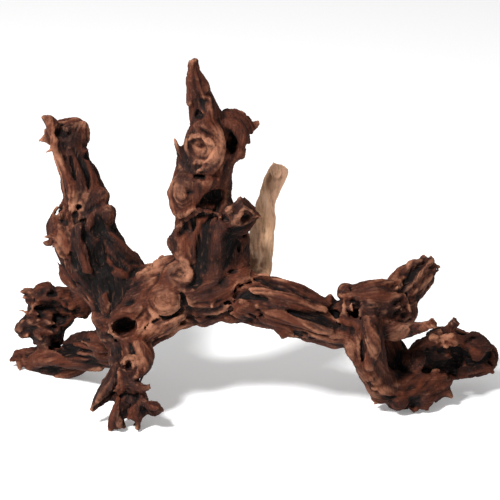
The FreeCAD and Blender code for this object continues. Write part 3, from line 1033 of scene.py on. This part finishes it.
def make_piece(name, places, faces, values, material):
    mesh = bpy.data.meshes.new(name)
    mesh.from_pydata((places / MM).tolist(), [], faces.tolist())
    for key, column in values.items():
        add_attribute(mesh, key, column)
    mesh.polygons.foreach_set("use_smooth", [True] * len(mesh.polygons))
    mesh.materials.append(material)
    piece = bpy.data.objects.new(name, mesh)
    bpy.context.scene.collection.objects.link(piece)
    return piece


# ---- materials

class Nodes:
    """A short way to write a node tree."""

    def __init__(self, name):
        self.material = bpy.data.materials.new(name)
        self.material.use_nodes = True
        self.tree = self.material.node_tree
        self.tree.nodes.clear()
        self.out = self.add("ShaderNodeOutputMaterial")
        self.shader = self.add("ShaderNodeBsdfPrincipled")
        self.link(self.shader.outputs[0], self.out.inputs[0])

    def add(self, kind, **settings):
        node = self.tree.nodes.new(kind)
        for key, value in settings.items():
            setattr(node, key, value)
        return node

    def link(self, source, target):
        self.tree.links.new(source, target)

    def put(self, target, value):
        if hasattr(value, "is_output"):
            self.link(value, target)
        else:
            target.default_value = value

    def attribute(self, name, vector=False):
        node = self.add("ShaderNodeAttribute", attribute_name=name)
        return node.outputs["Vector"] if vector else node.outputs["Fac"]

    def maths(self, operation, a, b=0.0, clamp=False):
        node = self.add("ShaderNodeMath", operation=operation, use_clamp=clamp)
        self.put(node.inputs[0], a)
        self.put(node.inputs[1], b)
        return node.outputs[0]

    def total(self, *values):
        """The sum of values, added in order."""
        result = values[0]
        for value in values[1:]:
            result = self.maths("ADD", result, value)
        return result

    def times(self, value, factor, clamp=False):
        return self.maths("MULTIPLY", value, factor, clamp)

    def ramp(self, value, low, high, first=0.0, last=1.0):
        node = self.add("ShaderNodeMapRange", interpolation_type="SMOOTHSTEP")
        self.put(node.inputs[0], value)
        for i, number in enumerate((low, high, first, last), start=1):
            node.inputs[i].default_value = number
        return node.outputs[0]

    def mix(self, share, a, b, blend="MIX"):
        node = self.add("ShaderNodeMix", data_type="RGBA", blend_type=blend)
        self.put(node.inputs[0], share)
        self.put(node.inputs[6], a)
        self.put(node.inputs[7], b)
        return node.outputs[2]

    def noise(self, place, scale, detail=4.0, roughness=0.6):
        node = self.add("ShaderNodeTexNoise")
        self.put(node.inputs["Vector"], place)
        node.inputs["Scale"].default_value = scale
        node.inputs["Detail"].default_value = detail
        node.inputs["Roughness"].default_value = roughness
        return node.outputs["Fac"]


def colour(red, green, blue):
    """A screen colour from 0 to 255 as the linear colour that a shader takes."""
    parts = [v / 255 for v in (red, green, blue)]
    return tuple(v / 12.92 if v <= 0.04045 else ((v + 0.055) / 1.055) ** 2.4 for v in parts) + (1.0,)


def wood_material(name, body, ridge, deep, warm):
    """Cast resin coloured as old wood: crests paler, partly wear and partly painted highlight; painted
    shade in grooves and hollows; grain lines and streaks along the fibres.
    """
    n = Nodes(name)
    place = n.add("ShaderNodeTexCoord").outputs["Object"]
    fine = n.attribute("fine")
    streak = n.attribute("streak")
    cavity = n.attribute("cavity")
    tone_and_painted_light = n.attribute("tone_and_painted_light")
    grit = n.noise(place, 900.0, 5.0, 0.7)
    hair = n.noise(n.attribute("grain", vector=True), 620.0, 5.0, 0.65)
    blotch = n.noise(place, 26.0, 4.0, 0.55)
    blotch_small = n.noise(place, 90.0, 3.0, 0.6)
    shade = n.mix(n.ramp(streak, -1.6, 1.8, 0.0, 0.7), body, warm)
    shade = n.mix(n.times(n.attribute("warmth"), 0.75, clamp=True), shade, warm)
    patchy = n.times(n.maths("SUBTRACT", blotch, 0.5), 2.4)
    # Paler on convex crests and in pale tone patches: partly wear, partly painted highlight.
    crest_wear_and_highlight = n.total(n.times(cavity, 1.3), n.times(fine, 0.12), patchy, n.times(tone_and_painted_light, 1.3))
    shade = n.mix(n.ramp(crest_wear_and_highlight, 0.15, 1.5, 0.0, 0.75), shade, ridge)
    # Painted shade: darker, down to the deep colour, where the skin is concave and in the dark tone
    # patches.
    low = n.total(n.times(n.attribute("hollow"), 0.45), cavity, n.times(tone_and_painted_light, 0.9))
    shade = n.mix(n.ramp(low, 0.35, -0.95), shade, deep)
    shade = n.mix(n.ramp(fine, -0.5, -2.0, 0.0, 0.5), shade, deep)
    shade = n.mix(n.ramp(hair, 0.48, 0.34, 0.0, 0.38), shade, deep)
    shade = n.mix(n.ramp(hair, 0.54, 0.7, 0.0, 0.16), shade, ridge)
    shade = n.mix(0.25, shade, n.mix(grit, colour(70, 70, 70), colour(190, 190, 190)), "OVERLAY")
    n.put(n.shader.inputs["Base Color"], shade)
    n.put(n.shader.inputs["Roughness"], n.ramp(blotch_small, 0.3, 0.7, 0.66, 0.9))
    n.shader.inputs["Specular IOR Level"].default_value = 0.12
    bump = n.add("ShaderNodeBump")
    bump.inputs["Strength"].default_value = 0.7
    bump.inputs["Distance"].default_value = 0.0009
    height = n.total(n.times(grit, 0.3), n.times(blotch_small, 0.8), hair)
    n.put(bump.inputs["Height"], height)
    n.put(n.shader.inputs["Normal"], bump.outputs[0])
    return n.material


def rod_material():
    """Glass-fibre rod: pale greenish resin with fine bundles of glass in it."""
    n = Nodes("glass_fibre_rod")
    place = n.add("ShaderNodeTexCoord").outputs["Object"]
    bundles = n.noise(place, 700.0, 6.0, 0.7)
    cloud = n.noise(place, 120.0, 3.0, 0.5)
    shade = n.mix(n.ramp(bundles, 0.35, 0.65), colour(178, 186, 150), colour(222, 226, 204))
    shade = n.mix(n.ramp(cloud, 0.4, 0.7, 0.0, 0.4), shade, colour(150, 158, 120))
    n.put(n.shader.inputs["Base Color"], shade)
    n.put(n.shader.inputs["Roughness"], n.ramp(bundles, 0.3, 0.7, 0.25, 0.45))
    bump = n.add("ShaderNodeBump")
    bump.inputs["Distance"].default_value = 0.0001
    n.put(bump.inputs["Height"], bundles)
    n.put(n.shader.inputs["Normal"], bump.outputs[0])
    return n.material


# In each material the third colour tints crests, partly wear and partly painted highlight. The fourth is
# the painted shade of grooves and hollows, and the dark grain lines.
brown = wood_material("brown_cast_resin", colour(38, 19, 15), colour(164, 112, 86),
                      colour(8, 4, 4), colour(86, 41, 24))
pale = wood_material("pale_cast_resin", colour(226, 184, 152), colour(246, 220, 192),
                     colour(146, 104, 78), colour(232, 188, 144))
plug_wood = wood_material("plug_resin", colour(46, 26, 18), colour(138, 96, 70), colour(12, 6, 5),
                          colour(84, 44, 26))
FINISH = {"pale_branch": (pale, "pale_cast_resin"), PLUG: (plug_wood, "plug_resin")}
columns = {"fine": fine, "streak": streak, "cavity": cavity, "hollow": hollow, "tone_and_painted_light": tone_and_painted_light,
           "warmth": warmth}
FIBRE_RELIEF = 0.3    # height in mm of the finest fibres
start = 0
for name, (places, faces) in skins.items():
    mine = slice(start, start + len(places))
    start += len(places)
    lift = FIBRE_RELIEF * np.clip(fine[mine], -2, 2)
    raised = places + vertex_normals(places, faces) * lift[:, None]
    raised[:, 2] = np.maximum(raised[:, 2], 0)
    material, slot = FINISH.get(name, (brown, "brown_cast_resin"))
    own = {key: column[mine] for key, column in columns.items()}
    own["grain"] = grain_of(name, places)
    piece = make_piece(name + "_skin", raised, faces, own, material)
    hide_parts(name)
    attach(piece, "root")
    print(name, len(faces), "quads")

rod = rod_material()
for name in PINS:
    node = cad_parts[name]
    node.data.materials.clear()
    node.data.materials.append(rod)

# ---- room, lights and camera

HALF_FLOOR = 4    # half the floor's side, in metres
floor_mesh = bpy.data.meshes.new("floor")
floor_corners = [(x * HALF_FLOOR, y * HALF_FLOOR, 0) for x, y in ((-1, -1), (1, -1), (1, 1), (-1, 1))]
floor_mesh.from_pydata(floor_corners, [], [(0, 1, 2, 3)])
floor = bpy.data.objects.new("floor", floor_mesh)
bpy.context.scene.collection.objects.link(floor)
paper = Nodes("floor_paper")
paper.shader.inputs["Base Color"].default_value = (0.9, 0.9, 0.9, 1)
paper.shader.inputs["Roughness"].default_value = 0.9
paper.shader.inputs["Emission Color"].default_value = (1, 1, 1, 1)
paper.shader.inputs["Emission Strength"].default_value = 0.2
floor.data.materials.append(paper.material)

world = bpy.data.worlds.new("studio")
world.use_nodes = True
sky = world.node_tree.nodes["Background"]
sky.inputs["Color"].default_value = (1, 1, 1, 1)
sky.inputs["Strength"].default_value = 0.44
bpy.context.scene.world = world
bpy.context.scene.view_settings.view_transform = "Standard"


def area_light(name, place, target, size, power):
    light = bpy.data.lights.new(name, "AREA")
    light.size = size
    light.energy = power
    lamp = bpy.data.objects.new(name, light)
    lamp.location = place
    lamp.rotation_euler = (Vector(target) - Vector(place)).to_track_quat("-Z", "Y").to_euler()
    bpy.context.scene.collection.objects.link(lamp)


area_light("key", (-0.8, -1.0, 1.5), (0, 0, 0.12), 0.36, 66)

VIEW_WIDTH = 0.45    # metres across the view at the ornament
DISTANCE = 3.0
ELEVATION = math.radians(20)
SENSOR = 36          # mm
low, high = CAD_BOUNDS
aim = Vector(((low.x + high.x) / 2 - 0.0012, (low.y + high.y) / 2 - 0.0066, 0.1442))
camera_data = bpy.data.cameras.new("camera")
camera_data.sensor_width = SENSOR
camera_data.lens = SENSOR * DISTANCE / VIEW_WIDTH
camera = bpy.data.objects.new("camera", camera_data)
camera.location = aim + DISTANCE * Vector((0, -math.cos(ELEVATION), math.sin(ELEVATION)))
camera.rotation_euler = (aim - camera.location).to_track_quat("-Z", "Y").to_euler()
bpy.context.scene.collection.objects.link(camera)
bpy.context.scene.camera = camera
